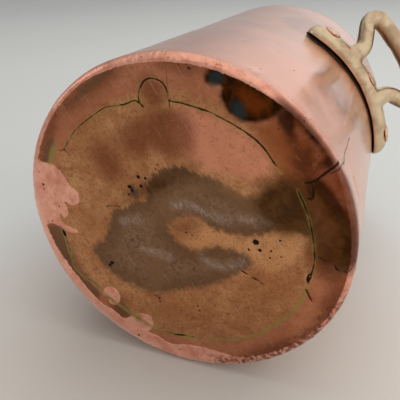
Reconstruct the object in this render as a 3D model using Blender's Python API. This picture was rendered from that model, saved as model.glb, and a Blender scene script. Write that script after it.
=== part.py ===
"""Copper stock pot with two riveted brass loop handles, standing on its base.

Metres, +Z up. The origin is the middle of the underside of the base. The handles are on +X and -X,
and the brazed seam of the wall runs up behind the +X handle.
"""

from math import atan2, cos, pi, radians, sin, sqrt

import bmesh
import bpy
from mathutils import Matrix, Vector

# Body
BODY_RADIUS = 0.115  # outside of the wall
BODY_HEIGHT = 0.309
WALL = 0.0018  # copper sheet of the wall and of its turned-in bottom edge
BASE_THICKNESS = 0.0022
CORNER_RADIUS = 0.006  # outside of the turned bottom edge
RIM_ROUND = 0.0005  # broken edge of the plain rim
LINING = 0.0005  # tin
LINING_DROP = 0.0012  # the tin stops this far below the rim
FIT_GAP = 0.0003  # between neighbouring pieces

# Brazed seams
SEAM_WIDTH = 0.0016
FLANGE_WIDTH = 0.0253  # from the outside of the wall to the middle of the brazed ring
TAB_ANGLE = radians(-63.5)  # the one tab of the base disc, counted from +X
TAB_WIDTH = 0.0150
TAB_NECK = 0.0008  # straight length of the tab between its foot and its round tip
TAB_FOOT = 0.0030  # fillet where the tab leaves the disc
CRAMP_LENGTH = 0.070  # height of one step of the side seam
RIVET_LAND = 0.0010  # copper left between the side seam and the hole of the middle rivet
SEAM_END = 0.016  # the side seam makes no step this close to the base or the rim

# Handles
HANDLE_HEIGHT = 0.181  # middle of the bar above the base
BAR_SPAN = radians(63.5)  # angle that the bar takes of the wall
BAR_TIP = radians(7)  # angle over which each end of the bar rounds off
BAR_HEIGHT = 0.0210
BAR_THICKNESS = 0.0113
BAR_EDGE = 0.0022  # rounding of the bar's long edges next to the wall
BAR_SQUARENESS = 2.5  # 2 makes the bar's crown an ellipse, more makes it flatter
NOTCH = 0.0018  # groove across the lower edge of the bar at its middle
ROD_RADIUS = 0.0062  # of the legs
GRIP_RADIUS = 0.0070  # of the middle of the grip
LEG_FLARE = 0.0016  # extra radius of each leg where it meets the bar
LOOP_TILT = radians(30)  # the loop rises this much from level
LOOP_LIFT = 0.0030  # the legs start this far above the middle of the bar
LOOP_SHIFT = -0.0030  # the hand-made loop sits this much to one side of the middle rivet
LEG_HALF_GAP = 0.0213  # from the middle of the loop to the middle of each leg at the bar
KNEE_REACH = 0.0050  # the legs stand straight out this far from the crown, then splay
KNEE_INSIDE = 0.0018  # round of the inside of each knee
SHOULDER_HALF_WIDTH = 0.0494  # to the point where the lines of leg and grip would meet
SHOULDER_REACH = 0.0242
SHOULDER_INSIDE = 0.0006  # round of the inside of each shoulder
GRIP_REACH = 0.0338  # to the point where the two halves of the grip would meet
GRIP_ROUND = 0.0900

# Rivets
RIVET_SHANK = 0.0060  # diameter
RIVET_ANGLE = radians(23)  # from the middle rivet of a handle to its outer ones
RIVET_HEAD = 0.0150  # diameter of the head outside
RIVET_HEAD_HEIGHT = 0.0021
RIVET_TAIL = 0.0120  # diameter of the head inside
RIVET_TAIL_HEIGHT = 0.0018
SPOT_DEPTH = 0.0010  # flat seat cut into the crown of the bar for each rivet

# Facets
BODY_SEGMENTS = 80
CORNER_SEGMENTS = 5
BAR_SECTIONS = 30
BAR_CROWN_SEGMENTS = 10
ROD_SEGMENTS = 14
RIVET_SEGMENTS = 20
SHARP_ANGLE = radians(40)

COPPER = ("copper", (0.76, 0.40, 0.31, 1), 0.28)
BURNT_COPPER = ("burnt copper", (0.30, 0.14, 0.08, 1), 0.50)
BRASS = ("cast brass", (0.62, 0.46, 0.25, 1), 0.32)
BRAZE = ("brazing brass", (0.50, 0.43, 0.15, 1), 0.45)
TIN = ("tin", (0.62, 0.61, 0.58, 1), 0.40)

inner_radius = BODY_RADIUS - WALL
lining_radius = inner_radius - FIT_GAP - LINING
seam_radius = BODY_RADIUS - FLANGE_WIDTH
seam_edge = SEAM_WIDTH / 2 + FIT_GAP
seam_offset = RIVET_SHANK / 2 + FIT_GAP + RIVET_LAND + seam_edge
crown_radius = BODY_RADIUS + FIT_GAP + BAR_THICKNESS


def clear_scene():
    for item in list(bpy.data.objects):
        bpy.data.objects.remove(item)


def make_object(name, mesh, finish):
    """An object with its own Principled material."""
    label, colour, roughness = finish
    material = bpy.data.materials.new(f"{label} {name}")
    material.use_nodes = True
    shader = material.node_tree.nodes["Principled BSDF"]
    shader.inputs["Base Color"].default_value = colour
    shader.inputs["Metallic"].default_value = 1.0
    shader.inputs["Roughness"].default_value = roughness
    mesh.materials.clear()
    mesh.materials.append(material)
    mesh.shade_smooth()
    mesh.set_sharp_from_angle(angle=SHARP_ANGLE)
    item = bpy.data.objects.new(name, mesh)
    bpy.context.scene.collection.objects.link(item)
    return item


def finish_mesh(bm, name):
    bmesh.ops.recalc_face_normals(bm, faces=bm.faces)
    mesh = bpy.data.meshes.new(name)
    bm.to_mesh(mesh)
    bm.free()
    return mesh


def cut(mesh, tools, operation="DIFFERENCE"):
    """The mesh after a Boolean with each tool mesh in turn; the tools are used up."""
    body = bpy.data.objects.new("body", mesh)
    bpy.context.scene.collection.objects.link(body)
    cutters = []
    for tool in tools:
        cutter = bpy.data.objects.new("cutter", tool)
        cutter.hide_render = True
        cutter.display_type = "WIRE"
        bpy.context.scene.collection.objects.link(cutter)
        cutters.append(cutter)
        modifier = body.modifiers.new("boolean", "BOOLEAN")
        modifier.operation = operation
        modifier.object = cutter
    evaluated = body.evaluated_get(bpy.context.evaluated_depsgraph_get())
    result = bpy.data.meshes.new_from_object(evaluated)
    for item in (body, *cutters):
        used = item.data
        bpy.data.objects.remove(item)
        bpy.data.meshes.remove(used)
    return result


def spun(profile, segments, closed):
    """Turn a profile of (radius, height) points about Z; an open profile starts and ends on the axis."""
    bm = bmesh.new()
    points = [bm.verts.new((radius, 0, height)) for radius, height in profile]
    edges = [bm.edges.new(pair) for pair in zip(points, points[1:])]
    if closed:
        edges.append(bm.edges.new((points[-1], points[0])))
    bmesh.ops.spin(bm, geom=points + edges, axis=(0, 0, 1), cent=(0, 0, 0), steps=segments, angle=2 * pi)
    bmesh.ops.remove_doubles(bm, verts=bm.verts, dist=1e-6)
    return finish_mesh(bm, "turned")


def prism(left, right, direction):
    """A solid ribbon between two matching rows of points, extruded along a direction."""
    bm = bmesh.new()
    rows = [[bm.verts.new(point) for point in row] for row in (left, right)]
    faces = []
    for near, far in zip(zip(*rows), list(zip(*rows))[1:]):
        faces.append(bm.faces.new((near[0], far[0], far[1], near[1])))
    grown = bmesh.ops.extrude_face_region(bm, geom=faces)["geom"]
    moved = [item for item in grown if isinstance(item, bmesh.types.BMVert)]
    bmesh.ops.translate(bm, vec=direction, verts=moved)
    return finish_mesh(bm, "ribbon")


def slab(outline, bottom, top):
    """A flat plate with the given outline."""
    bm = bmesh.new()
    face = bm.faces.new([bm.verts.new((x, y, bottom)) for x, y in outline])
    grown = bmesh.ops.extrude_face_region(bm, geom=[face])["geom"]
    moved = [item for item in grown if isinstance(item, bmesh.types.BMVert)]
    bmesh.ops.translate(bm, vec=(0, 0, top - bottom), verts=moved)
    return finish_mesh(bm, "slab")


def rod(radius, start, end, angle):
    """A cylinder along the radius of the body at an angle, at the height of the handles."""
    bm = bmesh.new()
    place = Matrix.Translation((0, 0, HANDLE_HEIGHT)) @ Matrix.Rotation(angle, 4, "Z")
    place = place @ Matrix.Translation(((start + end) / 2, 0, 0)) @ Matrix.Rotation(pi / 2, 4, "Y")
    bmesh.ops.create_cone(
        bm, cap_ends=True, segments=RIVET_SEGMENTS, radius1=radius, radius2=radius, depth=end - start, matrix=place
    )
    return finish_mesh(bm, "rod")


def arc(centre, radius, start, end, segments):
    """Points of an arc from one angle to another."""
    steps = [start + (end - start) * step / segments for step in range(segments + 1)]
    return [(centre[0] + radius * cos(step), centre[1] + radius * sin(step)) for step in steps]


def disc_outline(offset):
    """Outline of the base disc with its tab, moved outward by an offset from the middle of the brazed seam."""
    half = TAB_WIDTH / 2
    foot_y = half + TAB_FOOT
    foot_x = sqrt((seam_radius + TAB_FOOT) ** 2 - foot_y**2)
    foot_angle = atan2(foot_y, foot_x)
    foot = TAB_FOOT - offset
    points = arc((0, 0), seam_radius + offset, foot_angle, 2 * pi - foot_angle, BODY_SEGMENTS)
    points += arc((foot_x, -foot_y), foot, pi - foot_angle, pi / 2, CORNER_SEGMENTS)[1:]
    points += arc((foot_x + TAB_NECK, 0), half + offset, -pi / 2, pi / 2, 2 * CORNER_SEGMENTS)
    points += arc((foot_x, foot_y), foot, -pi / 2, foot_angle - pi, CORNER_SEGMENTS)[:-1]
    turn = Matrix.Rotation(TAB_ANGLE, 2)
    return [tuple(turn @ Vector(point)) for point in points]


def seam_centre():
    """The side seam's middle as (sideways, height) points: a stepped line that passes beside the middle rivet."""
    steps = []
    height = HANDLE_HEIGHT - CRAMP_LENGTH * (int(HANDLE_HEIGHT / CRAMP_LENGTH) + 0.5)
    while height < BODY_HEIGHT - SEAM_END:
        if height > SEAM_END:
            steps.append(height)
        height += CRAMP_LENGTH
    below_rivet = sum(height < HANDLE_HEIGHT for height in steps)
    side = seam_offset * (-1) ** below_rivet
    points = [(side, -BASE_THICKNESS)]
    for height in steps:
        points += [(side, height), (-side, height)]
        side = -side
    return points + [(side, BODY_HEIGHT + WALL)]


def seam_ribbon(width, start):
    """A ribbon of a given width along the side seam, from a given radius out through the wall."""
    points = [Vector(point) for point in seam_centre()]
    runs = [(after - before).normalized() for before, after in zip(points, points[1:])]
    sides = []
    for point, before, after in zip(points, runs[:1] + runs, runs + runs[-1:]):
        normals = [Vector((-run.y, run.x)) for run in (before, after)]
        mitre = (normals[0] + normals[1]) / (1 + normals[0].dot(normals[1]))
        sides.append([point + mitre * width / 2, point - mitre * width / 2])
    left, right = ([(start, pair[side].x, pair[side].y) for pair in sides] for side in (0, 1))
    return prism(left, right, Vector((BODY_RADIUS + WALL - start, 0, 0)))


def wall_profile():
    """Section of the wall sheet: a plain rim, a straight side and a bottom edge turned in under the body."""
    centre = (BODY_RADIUS - CORNER_RADIUS, CORNER_RADIUS)
    flange_end = seam_radius - TAB_WIDTH
    points = [(inner_radius + RIM_ROUND, BODY_HEIGHT), (BODY_RADIUS - RIM_ROUND, BODY_HEIGHT)]
    points.append((BODY_RADIUS, BODY_HEIGHT - RIM_ROUND))
    points += arc(centre, CORNER_RADIUS, 0, -pi / 2, CORNER_SEGMENTS)
    points += [(flange_end, 0), (flange_end, WALL)]
    points += arc(centre, CORNER_RADIUS - WALL, -pi / 2, 0, CORNER_SEGMENTS)
    points.append((inner_radius, BODY_HEIGHT - RIM_ROUND))
    return points


def rivet_places():
    """Name, handle side and angle of each rivet."""
    for side, facing in (("right", 0), ("left", pi)):
        for number, angle in enumerate((-RIVET_ANGLE, 0, RIVET_ANGLE), start=1):
            yield f"rivet_{side}_{number}", facing + angle


def rivet_holes(start):
    """Drills for the rivet shanks, from a given radius outward."""
    reach = crown_radius + SPOT_DEPTH
    return [rod(RIVET_SHANK / 2 + FIT_GAP, start, reach, angle) for _, angle in rivet_places()]


def make_wall():
    sheet = spun(wall_profile(), BODY_SEGMENTS, closed=True)
    window = slab(disc_outline(seam_edge), -WALL, 2 * WALL)
    seam_start = seam_radius / 2
    slot = seam_ribbon(SEAM_WIDTH + 2 * FIT_GAP, seam_start)
    mesh = cut(sheet, [window, slot, *rivet_holes(inner_radius / 2)])
    make_object("wall_sheet", mesh, COPPER)


def make_side_seam():
    sheet = spun(wall_profile(), BODY_SEGMENTS, closed=True)
    ribbon = seam_ribbon(SEAM_WIDTH, seam_radius + seam_edge)
    make_object("side_seam", cut(sheet, [ribbon], "INTERSECT"), BRAZE)


def make_base():
    make_object("base_disc", slab(disc_outline(-seam_edge), 0, BASE_THICKNESS), BURNT_COPPER)
    bm = bmesh.new()
    loops = []
    for offset, height in ((-1, 0), (1, 0), (1, WALL), (-1, WALL)):
        outline = disc_outline(offset * SEAM_WIDTH / 2)
        points = [bm.verts.new((x, y, height)) for x, y in outline]
        loops.append([bm.edges.new(pair) for pair in zip(points, points[1:] + points[:1])])
    for near, far in zip(loops, loops[1:] + loops[:1]):
        bmesh.ops.bridge_loops(bm, edges=near + far)
    make_object("base_seam", finish_mesh(bm, "ring"), BRAZE)


def make_lining():
    bottom = max(WALL, BASE_THICKNESS) + FIT_GAP
    outer_corner = CORNER_RADIUS - WALL - FIT_GAP
    centre = (BODY_RADIUS - CORNER_RADIUS, bottom + outer_corner)
    top = BODY_HEIGHT - LINING_DROP
    profile = [(0, bottom + LINING)]
    profile += arc(centre, outer_corner - LINING, -pi / 2, 0, CORNER_SEGMENTS)
    profile += [(lining_radius, top), (lining_radius + LINING, top)]
    profile += arc(centre, outer_corner, 0, -pi / 2, CORNER_SEGMENTS)
    profile.append((0, bottom))
    mesh = cut(spun(profile, BODY_SEGMENTS, closed=False), rivet_holes(inner_radius / 2))
    make_object("tin_lining", mesh, TIN)


def bar_section(angle):
    """Section of the handle's bar at an angle: flat against the wall, with a crown outside."""
    past = max(0, (abs(angle) - BAR_SPAN / 2 + BAR_TIP) / BAR_TIP)
    size = sqrt(max(0, 1 - past**2))
    half, thickness, edge = BAR_HEIGHT / 2 * size, BAR_THICKNESS * size, BAR_EDGE * size
    points = [(0, edge - half)]
    for step in range(BAR_CROWN_SEGMENTS + 1):
        turn = -pi / 2 + pi * step / BAR_CROWN_SEGMENTS
        out = abs(cos(turn)) ** (2 / BAR_SQUARENESS)
        up = abs(sin(turn)) ** (2 / BAR_SQUARENESS) * (1 if turn > 0 else -1)
        points.append((edge + (thickness - edge) * out, half * up))
    points.append((0, half - edge))
    back = BODY_RADIUS + FIT_GAP
    return [((back + out) * cos(angle), (back + out) * sin(angle), HANDLE_HEIGHT + up) for out, up in points]


def skin(sections):
    """A closed solid through matching closed sections, with flat ends."""
    bm = bmesh.new()
    rings = [[bm.verts.new(point) for point in section] for section in sections]
    for near, far in zip(rings, rings[1:]):
        for here, there in zip(zip(near, near[1:] + near[:1]), zip(far, far[1:] + far[:1])):
            bm.faces.new((here[0], here[1], there[1], there[0]))
    bm.faces.new(rings[0])
    bm.faces.new(rings[-1])
    return finish_mesh(bm, "skin")


def make_bar():
    """The bar's sections crowd together toward its round ends."""
    reach = BAR_SPAN / 2 - BAR_TIP * 0.02
    steps = [step / BAR_SECTIONS * 2 - 1 for step in range(BAR_SECTIONS + 1)]
    return skin([bar_section(reach * sin(step * pi / 2)) for step in steps])


def rounded_line(points, radii, segments):
    """A line through the first and last points, with each corner between them rounded to its radius."""
    line = [points[0]]
    for before, corner, after, radius in zip(points, points[1:], points[2:], radii):
        back, ahead = (before - corner).normalized(), (after - corner).normalized()
        half = back.angle(ahead) / 2
        middle = corner + (back + ahead).normalized() * radius / sin(half)
        first = corner + back * radius / (sin(half) / cos(half))
        arm = first - middle
        turn = (pi - 2 * half) * (1 if back.cross(ahead) < 0 else -1)
        line += [middle + Matrix.Rotation(turn * step / segments, 2) @ arm for step in range(segments + 1)]
    return line + [points[-1]]


def loop_line():
    """The loop's middle line in its own plane: x along the bar, y out from the bar's crown."""
    half = [(LEG_HALF_GAP, -GRIP_RADIUS), (LEG_HALF_GAP, KNEE_REACH), (SHOULDER_HALF_WIDTH, SHOULDER_REACH)]
    corners = [Vector((-x, y)) for x, y in half] + [Vector((0, GRIP_REACH))] + [Vector(point) for point in half[::-1]]
    knee, shoulder = ROD_RADIUS + KNEE_INSIDE, ROD_RADIUS + SHOULDER_INSIDE
    return rounded_line(corners, (knee, shoulder, GRIP_ROUND, shoulder, knee), CORNER_SEGMENTS + 2)


def make_loop():
    """The rod of the handle, thicker at the middle of the grip and at the feet of the legs."""
    line = loop_line()
    out = Vector((cos(LOOP_TILT), 0, sin(LOOP_TILT)))
    across = Vector((sin(LOOP_TILT), 0, -cos(LOOP_TILT)))
    origin = Vector((crown_radius, LOOP_SHIFT, HANDLE_HEIGHT + LOOP_LIFT))
    grip_ends = SHOULDER_REACH, GRIP_REACH - SHOULDER_REACH
    rings = []
    for index, point in enumerate(line):
        before, after = line[max(index - 1, 0)], line[min(index + 1, len(line) - 1)]
        run = (after - before).normalized()
        side = Vector((0, -run.y, 0)) + out * run.x
        centre = origin + Vector((0, point.x, 0)) + out * point.y
        swell = max(0, (point.y - grip_ends[0]) / grip_ends[1])
        foot = max(0, 1 - (point.y + GRIP_RADIUS) / (KNEE_REACH + 2 * GRIP_RADIUS))
        radius = ROD_RADIUS + (GRIP_RADIUS - ROD_RADIUS) * sqrt(swell) + LEG_FLARE * foot
        turns = [2 * pi * step / ROD_SEGMENTS for step in range(ROD_SEGMENTS)]
        rings.append([centre + (side * cos(turn) + across * sin(turn)) * radius for turn in turns])
    return skin(rings)


def make_handles():
    """Both handles are the same casting."""
    notch = rod(NOTCH, BODY_RADIUS - WALL, crown_radius + NOTCH, 0)
    notch.transform(Matrix.Translation((0, 0, -BAR_HEIGHT / 2)))
    seats = []
    for angle in (-RIVET_ANGLE, 0, RIVET_ANGLE):
        seats.append(rod(RIVET_HEAD / 2 + 2 * FIT_GAP, crown_radius - SPOT_DEPTH, crown_radius + SPOT_DEPTH, angle))
        seats.append(rod(RIVET_SHANK / 2 + FIT_GAP, BODY_RADIUS - WALL, crown_radius, angle))
    casting = cut(cut(make_bar(), [make_loop()], "UNION"), [notch, *seats])
    for side, facing in (("right", 0), ("left", pi)):
        handle = make_object(f"handle_{side}", casting.copy(), BRASS)
        handle.rotation_euler.z = facing


def make_rivets():
    """Copper rivets through bar, wall and lining, with a wide head outside and a smaller one inside."""
    head, tail, shank = RIVET_HEAD / 2, RIVET_TAIL / 2, RIVET_SHANK / 2
    head_seat = crown_radius - SPOT_DEPTH + FIT_GAP
    tail_seat = sqrt((lining_radius * cos(pi / BODY_SEGMENTS)) ** 2 - tail**2) - FIT_GAP
    profile = [(0, head_seat + RIVET_HEAD_HEIGHT)]
    for radius, seat, height in ((head, head_seat, RIVET_HEAD_HEIGHT), (tail, tail_seat, -RIVET_TAIL_HEIGHT)):
        dome = [(radius * sin(turn), seat + height * (0.3 + 0.7 * cos(turn))) for turn in (pi / 6, pi / 3, pi / 2)]
        stretch = dome + [(radius, seat), (shank, seat)]
        profile += stretch if height > 0 else stretch[::-1]
    profile.append((0, tail_seat - RIVET_TAIL_HEIGHT))
    for name, angle in rivet_places():
        rivet = make_object(name, spun(profile, RIVET_SEGMENTS, closed=False), COPPER)
        rivet.location.z = HANDLE_HEIGHT
        rivet.rotation_euler = (0, pi / 2, angle)


clear_scene()
make_wall()
make_side_seam()
make_base()
make_lining()
make_handles()
make_rivets()
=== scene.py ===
"""An old copper stock pot lying on its side, with its burnt base toward the camera.

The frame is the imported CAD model: metres, the middle of the underside of the base at the origin, +Z up through
the body. Marks on the base are placed in millimetres on its underside, x toward the right handle and y across.
"""

import math

import bpy
import numpy as np
from mathutils import Matrix, Vector, noise


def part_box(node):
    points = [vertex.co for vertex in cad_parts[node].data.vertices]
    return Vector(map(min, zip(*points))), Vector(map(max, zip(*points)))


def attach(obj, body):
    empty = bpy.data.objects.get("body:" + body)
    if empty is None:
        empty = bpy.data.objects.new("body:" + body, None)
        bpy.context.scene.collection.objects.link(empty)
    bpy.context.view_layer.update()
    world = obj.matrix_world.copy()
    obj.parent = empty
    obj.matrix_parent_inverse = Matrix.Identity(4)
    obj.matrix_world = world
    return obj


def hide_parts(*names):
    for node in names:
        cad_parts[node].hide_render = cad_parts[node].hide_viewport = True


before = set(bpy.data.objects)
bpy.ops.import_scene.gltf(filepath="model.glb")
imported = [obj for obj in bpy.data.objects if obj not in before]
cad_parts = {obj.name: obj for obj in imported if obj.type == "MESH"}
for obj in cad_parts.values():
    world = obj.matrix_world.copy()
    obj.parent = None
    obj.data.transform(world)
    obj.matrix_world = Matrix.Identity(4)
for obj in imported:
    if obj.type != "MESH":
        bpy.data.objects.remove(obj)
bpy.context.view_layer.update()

MM = 0.001
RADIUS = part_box("wall_sheet")[1].y
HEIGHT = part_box("wall_sheet")[1].z
WALL = 1.8 * MM
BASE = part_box("base_disc")[1].z
LINING_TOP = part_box("tin_lining")[1].z
HANDLE_HEIGHT = 181 * MM
FOOT_HALF, FOOT_RADIUS = 63.7 * MM, 10.5 * MM  # half the length of each handle's foot round the wall, and its ends

# The same sizes in millimetres, which the meshes are built in
BODY, TOP, SHEET, DISC = RADIUS / MM, HEIGHT / MM, WALL / MM, BASE / MM
MM_PER_DEGREE = math.radians(BODY)
RIM = 0.6  # how far below the top the rim's rounding starts
SEAM_WIDTH = 1.5
FLANGE_FROM = 93  # distance from the middle at which the wall's turned-in edge begins to look different
SIDE_FROM = 108  # distance from the middle beyond which the marks of the side show
EDGE = 112  # distance from the middle at which the flat underside turns into the corner
COLUMNS = 530  # points round the body
FAR = 20.0  # distance beyond which a mark has no effect

CAMERA_PLACE = (0.17911, -0.07376, -0.24016)
CAMERA_AIM = (-0.51607, 0.20985, 0.83044)
CAMERA_UP = (0.36283, -0.82469, 0.43387)
CAMERA_LENS = 41.87
FLOOR_AZIMUTH = math.radians(122)  # the side of the body that the pot lies on


# Lines and patches on the base, in millimetres

def smooth_line(points, closed=False, steps=5):
    """A Catmull-Rom curve through given points."""
    p = np.array(points, float)
    p = np.vstack([p[-1:], p, p[:2]]) if closed else np.vstack([2 * p[0] - p[1], p, 2 * p[-1] - p[-2]])
    t = np.linspace(0, 1, steps, endpoint=False)[:, None]
    runs = [
        (2 * b + (c - a) * t + (2 * a - 5 * b + 4 * c - d) * t**2 + (3 * b - a - 3 * c + d) * t**3) / 2
        for a, b, c, d in zip(p, p[1:], p[2:], p[3:])
    ]
    return np.vstack(runs + [p[1:2] if closed else p[-2:-1]])


def line_distance(at, line):
    """Distance of each place to a line of points."""
    best = np.full(len(at), np.inf)
    for a, b in zip(line, line[1:]):
        run = b - a
        share = np.clip((at - a) @ run / max(run @ run, 1e-9), 0, 1)
        best = np.minimum(best, np.linalg.norm(at - a - share[:, None] * run, axis=1))
    return best


def near(at, line):
    """Which places are close enough to a line for its mark to reach them."""
    return ((at > line.min(0) - FAR) & (at < line.max(0) + FAR)).all(1)


def line_mark(at, points):
    """Distance to a curve through the points, FAR at most."""
    line = smooth_line(points)
    out = np.full(len(at), FAR)
    close = near(at, line)
    out[close] = np.minimum(line_distance(at[close], line), FAR)
    return out


def patch(at, points):
    """How deep each place lies inside a closed outline; negative outside."""
    line = smooth_line(points, closed=True)
    out = np.full(len(at), -FAR)
    close = near(at, line)
    spots = at[close]
    inside = np.zeros(len(spots), bool)
    for a, b in zip(line, line[1:]):
        crosses = (a[1] > spots[:, 1]) != (b[1] > spots[:, 1])
        rise = b[1] - a[1] if b[1] != a[1] else 1e-9
        inside ^= crosses & (spots[:, 0] < (b[0] - a[0]) * (spots[:, 1] - a[1]) / rise + a[0])
    depth = np.minimum(line_distance(spots, line), FAR)
    out[close] = np.where(inside, depth, -depth)
    return out


def spot(at, x, y, wide, tall=None, turn=0):
    """How deep each place lies inside an ellipse, given by its half axes and its turn in degrees."""
    tall = tall or wide
    c, s = math.cos(math.radians(turn)), math.sin(math.radians(turn))
    away = at - (x, y)
    along, across = away @ (c, s), away @ (-s, c)
    return np.maximum((1 - np.hypot(along / wide, across / tall)) * min(wide, tall), -FAR)


def spots(at, ellipses):
    return most(*(spot(at, *ellipse) for ellipse in ellipses))


def most(*layers):
    return np.maximum.reduce(layers)


# Outlines are closed. An ellipse is x, y, its half axes and its turn in degrees.

GLINTS = [  # painted highlights on the soot, in a grey metal tone
    [(11, -17), (19, -14), (26, -6), (32, 1), (39, 7)],
    [(47, 9), (55, 14), (63, 18)],
    [(7, 24), (10, 30), (19, 36), (31, 37)],
    [(-31, 1), (-24, 8), (-17, 14)],
    [(-32, -22), (-20, -20)],
]
GLINT_WIDTH = 2.2
SOOT = [
    (-72, -10), (-66, -16), (-56, -17), (-46, -24), (-36, -30), (-24, -31), (-12, -30), (-5, -29), (0, -36), (8, -40),
    (18, -41), (27, -39), (36, -31), (45, -23), (51, -14), (56, -6), (64, 0), (76, 0), (86, 1), (89, 8), (87, 20),
    (84, 31), (79, 35), (73, 29), (64, 24), (52, 24), (42, 21), (34, 14), (26, 7), (21, -3), (12, -8), (1, -7),
    (-4, 2), (0, 11), (8, 18), (20, 19), (30, 26), (38, 36), (35, 41), (22, 43), (4, 45), (-10, 43), (-26, 40),
    (-40, 38), (-52, 32), (-62, 21), (-70, 8),
]
EMBER = [
    (0, -5), (12, -9), (22, -5), (28, 6), (38, 16), (52, 21), (66, 22), (76, 30), (77, 40), (66, 47), (52, 49),
    (40, 46), (36, 36), (24, 22), (8, 17), (0, 6),
]
CLEAN = [
    (38, -56), (48, -68), (60, -62), (72, -48), (80, -35), (84, -20), (80, -9), (70, -10), (60, -16), (50, -24),
    (42, -36),
]
TORN = [
    (-60, -84), (-55, -80), (-53, -71), (-54, -62), (-52, -55), (-55, -49), (-60, -48), (-64, -50), (-66, -54),
    (-68, -50), (-70, -45), (-75, -44), (-77, -48), (-80, -42), (-76, -36), (-72, -30), (-78, -31), (-84, -39),
    (-90, -45), (-96, -45), (-104, -38), (-122, -30), (-122, -70), (-90, -100), (-70, -94),
]
TONGUE_LOW = [
    (-94, 47), (-84, 48), (-76, 47), (-69, 48), (-63, 52), (-64, 58), (-68, 62), (-74, 64), (-80, 66), (-100, 70),
]
TONGUE_HIGH = [(-90, 22), (-84, 18), (-78, 19), (-75, 25), (-78, 31), (-84, 34), (-89, 31), (-87, 26)]
FLANGE_BAND = [
    (-103, 22), (-98, 28), (-91, 37), (-88, 47), (-80, 60), (-70, 70), (-62, 80), (-50, 84), (-40, 89), (-28, 97),
    (-18, 106), (-18, 120), (-60, 125), (-100, 100), (-125, 60), (-130, 20), (-130, -60), (-112, -60), (-103, -36),
    (-103, -10),
]
BURN = [
    (73, -72), (79, -78), (88, -78), (95, -68), (101, -56), (106, -44), (103, -39), (96, -37), (88, -39), (81, -43),
    (77, -50), (76, -59), (79, -67),
]
EMBER_BURN = [(86, -58), (91, -57), (97, -48), (98, -43), (91, -43), (86, -48)]
DARK_BAND = [
    (99, 4), (104, 8), (106, 24), (105, 42), (101, 54), (95, 64), (88, 66), (84, 60), (92, 52), (97, 40), (98, 24),
    (96, 12),
]
RUSSET = [
    (84, -38), (90, -36), (100, -40), (116, -48), (130, -22), (131, 10), (127, 38), (117, 60), (104, 71), (90, 64),
    (84, 52), (88, 38), (90, 26), (90, 12), (86, 2), (84, -4), (86, -10), (88, -22),
]
SHADES = [  # browner places
    (36, -58, 17, 15, 20), (14, -66, 16, 11, -8), (-15, -62, 9, 14, 10), (-42, -99, 26, 5, -26), (4, -107, 32, 6),
    (42, -84, 8, 9), (98, 66, 16, 18), (84, 60, 14, 18, -30), (74, 82, 20, 8, -45), (56, 102, 26, 9, -28),
    (14, 108, 24, 8, -5), (108, 30, 12, 40), (66, -89, 14, 6, 38), (-86, 40, 8, 14, 30), (8, 0, 10, 6),
    (-98, -20, 8, 26), (60, 10, 22, 9, 8),
]
MURK = [  # nearly black places
    (-83, 41, 6, 5, 40), (12, -107, 22, 2.5, -4), (104, -38, 5, 18, 18), (95, 8, 3, 6, 20), (112, -2, 6, 3.5, -30),
    (111, -20, 3, 14, -8),
]
TEAL = [(80, -71, 4.5, 3.5), (82, -50, 3.5, 5.5), (-10, -38, 2.5, 4)]  # scale that turned blue
SINGE = (90, -20, 7, 16, 8)
LOBES = [(78, 13, 20, 20), (90, 42, 14, 22, 20)]  # brown varnish over the soot
LOBE_ABOVE = (6, -34, 30, 7, 3)
OLIVE = [(-50, -86, 11, 2.2, -30), (-74, 50, 5, 3, -60)]  # brass smeared beside its seam
SHADE_LEFT = [
    (-103, -34), (-96, -42), (-88, -43), (-84, -36), (-88, -28), (-92, -18), (-96, -6), (-94, 10), (-92, 20),
    (-99, 23), (-103, 10), (-104, -14),
]
SMUDGE = [(-64, -83), (-57, -89), (-47, -95), (-41, -94), (-44, -89), (-51, -84), (-57, -83)]

SEAM_TOP = [
    (-39, -84), (-34, -86), (-25, -89.5), (-14, -91), (0, -91.5), (8, -91), (16, -88), (22, -86), (28, -85),
    (30.3, -82.5), (31.5, -85), (33.5, -87.5), (37, -89.5), (41, -91), (45, -90.3), (48.8, -87), (50.3, -83),
    (49.5, -78), (48, -74.2), (54, -69), (60, -63), (66, -57), (71, -50), (75, -44), (79, -37), (82, -30),
    (83.6, -22), (84, -14), (84.5, -7),
]
SEAM_RIGHT = [(88, 6), (87, 16), (85, 26), (82, 35), (78, 45), (73, 54), (66, 62)]
SEAM_LOW = [(62, 67), (52, 76), (44, 81), (34, 85), (22, 89), (10, 91.5), (-2, 91), (-16, 89), (-28, 85)]
SEAM_LEFT = [
    (-38, 80), (-48, 75.5), (-56, 71), (-62, 67), (-68, 61), (-74, 52), (-79, 43), (-83, 34), (-87, 25), (-89, 16),
    (-92, 9), (-97, 4), (-98.5, -4), (-96, -12), (-92, -20), (-88, -28), (-85, -36),
]
SEAM_UNSEEN = [(-80, -46), (-72, -57), (-62, -68), (-50, -78)]
SEAM = SEAM_TOP + SEAM_RIGHT + SEAM_LOW + SEAM_LEFT + SEAM_UNSEEN
SIDE_CRACK = [(117, 1.5), (110, 2.5), (104, 4), (99, 5), (94, 4)]
TICKS = [  # short cracks
    [(97, 5), (96, 10), (93, 14), (91, 13)],
    [(60, 68), (59.5, 74), (59, 78)],
    [(30.3, -82.5), (31, -79)],
    [(48, -74.2), (46, -71)],
    [(-39, -84), (-43, -85)],
    [(-39, -84), (-37.5, -79)],
    [(78, 50), (81, 55), (84, 58), (84, 62), (88, 65), (93, 64), (97, 60)],
    [(27, 42), (31, 48), (36, 56)],
    [(-37, -37), (-31, -35), (-27, -32)],
    [(-47, 38), (-45, 44)],
]
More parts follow.
